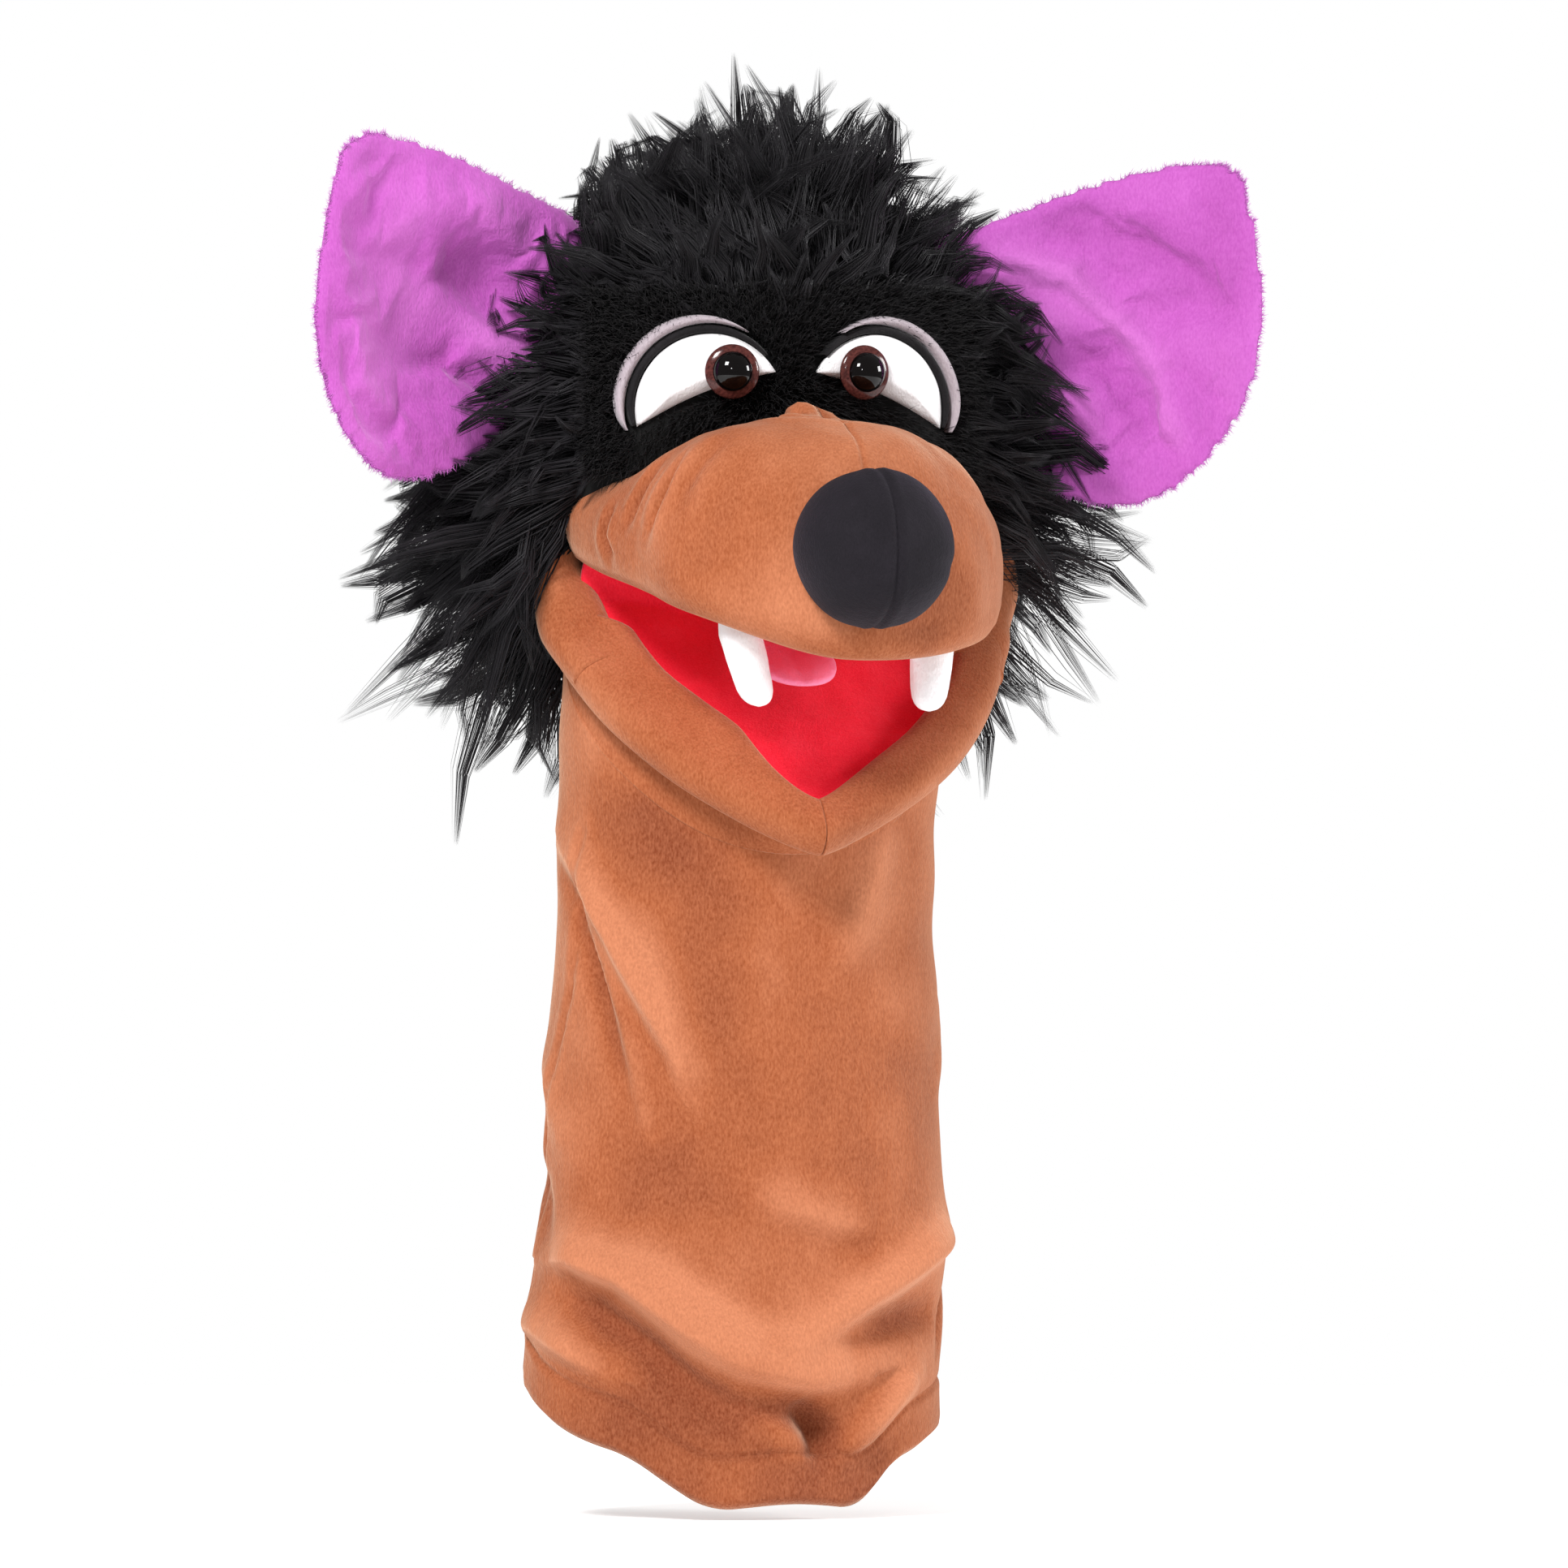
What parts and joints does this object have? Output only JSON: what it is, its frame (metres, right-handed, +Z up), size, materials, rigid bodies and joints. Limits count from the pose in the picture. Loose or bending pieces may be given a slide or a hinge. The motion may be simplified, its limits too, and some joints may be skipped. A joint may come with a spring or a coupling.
{
  "type": "moving mouth puppet",
  "caption": "Wolf glove puppet with a stuffed snout, plastic eyes, fur mane, plush ears, open moving mouth and a long plush arm sleeve.",
  "frame": {"origin": "centre of the hand opening at the bottom of the sleeve", "axes": "+Z up along the sleeve towards the crown, -Y the way the face looks, +X the puppet's left side"},
  "size_m": [0.3334, 0.2744, 0.4652],
  "materials": {
    "brown_plush": "short brushed pile with a soft sheen",
    "long_black_fur": "long clumped faux fur pile, slightly glossy",
    "short_black_fur": "short dense faux fur pile",
    "black_velour": "fine matt velour",
    "red_velour": "short velour pile with a sheen",
    "pink_velour": "short velour pile",
    "white_plush": "short white pile",
    "grey_plush": "short grey pile",
    "black_felt": "matt felt",
    "purple_plush": "short brushed pile with a soft sheen",
    "eye_plastic": "polished moulded plastic",
    "iris_plastic": "polished moulded plastic",
    "washer_plastic": "moulded plastic",
    "mouth_board": "stiff fibre board",
    "glove_lining": "thin woven polyester lining",
    "fibre_filling": "loose polyester filling",
    "ear_wadding": "needled polyester wadding"
  },
  "bodies": {
    "sleeve": {"sleeve_front_panel": "brown_plush", "sleeve_back_panel": "brown_plush", "hem_facing": "brown_plush"},
    "neck": {"neck_front_panel": "brown_plush", "neck_back_panel": "brown_plush", "neck_gather": "brown_plush"},
    "head": {"head_stuffing": "fibre_filling", "brow_panel": "short_black_fur", "crown_fur": "long_black_fur", "nape_fur": "long_black_fur", "cheek_fur_left": "long_black_fur", "cheek_fur_right": "long_black_fur", "cheek_panel_left": "brown_plush", "cheek_panel_right": "brown_plush", "snout_cover": "brown_plush", "snout_stuffing": "fibre_filling", "upper_lip": "brown_plush", "nose_cover": "black_velour", "nose_stuffing": "fibre_filling", "palate_lining": "red_velour", "upper_mouth_board": "mouth_board", "finger_pocket": "glove_lining", "mouth_fold": "red_velour", "fang_left": "white_plush", "fang_right": "white_plush", "eye_white_left": "white_plush", "eye_white_right": "white_plush", "eye_outline_left": "black_felt", "eye_outline_right": "black_felt", "eyelid_left": "grey_plush", "eyelid_right": "grey_plush", "eye_dome_left": "eye_plastic", "eye_dome_right": "eye_plastic", "eye_iris_left": "iris_plastic", "eye_iris_right": "iris_plastic", "eye_washers": "washer_plastic"},
    "jaw": {"lip_left": "brown_plush", "lip_right": "brown_plush", "mouth_floor_lining": "red_velour", "lower_mouth_board": "mouth_board", "thumb_pocket": "glove_lining", "throat_panel": "brown_plush"},
    "tongue": {"tongue": "pink_velour"},
    "ear_left": {"ear_front_left": "purple_plush", "ear_wadding_left": "ear_wadding", "ear_back_left": "purple_plush"},
    "ear_right": {"ear_front_right": "purple_plush", "ear_wadding_right": "ear_wadding", "ear_back_right": "purple_plush"}
  },
  "joints": [
    {"name": "head_turn", "type": "hinge", "parent": "sleeve", "child": "neck", "pos_m": [0, 0, 0.11], "axis": [0, 0, 1], "range_deg": [-40, 40]},
    {"name": "head_nod", "type": "hinge", "parent": "neck", "child": "head", "pos_m": [0, 0.005, 0.212], "axis": [-1, 0, 0], "range_deg": [-20, 20], "deforming": ["neck_gather"]},
    {"name": "jaw_hinge", "type": "hinge", "parent": "head", "child": "jaw", "pos_m": [0, -0.006, 0.283], "axis": [1, 0, 0], "range_deg": [-32, 10], "deforming": ["throat_panel", "cheek_panel_left", "cheek_panel_right", "fang_left", "fang_right"]},
    {"name": "tongue_lift", "type": "hinge", "parent": "jaw", "child": "tongue", "pos_m": [0, -0.0122, 0.2723], "axis": [1, 0, 0], "range_deg": [-6.6, 20.9]},
    {"name": "ear_left_flop", "type": "hinge", "parent": "head", "child": "ear_left", "pos_m": [-0.066, 0, 0.372], "axis": [0.2702, 0, 0.9628], "range_deg": [-12, 12], "stiffness_Nm_per_rad": 0.6},
    {"name": "ear_right_flop", "type": "hinge", "parent": "head", "child": "ear_right", "pos_m": [0.066, 0, 0.365], "axis": [0.2702, 0, -0.9628], "range_deg": [-12, 12], "stiffness_Nm_per_rad": 0.6}
  ],
  "couplings": [
    {"joint": "tongue_lift", "follows": "jaw_hinge", "ratio": -0.65}
  ]
}
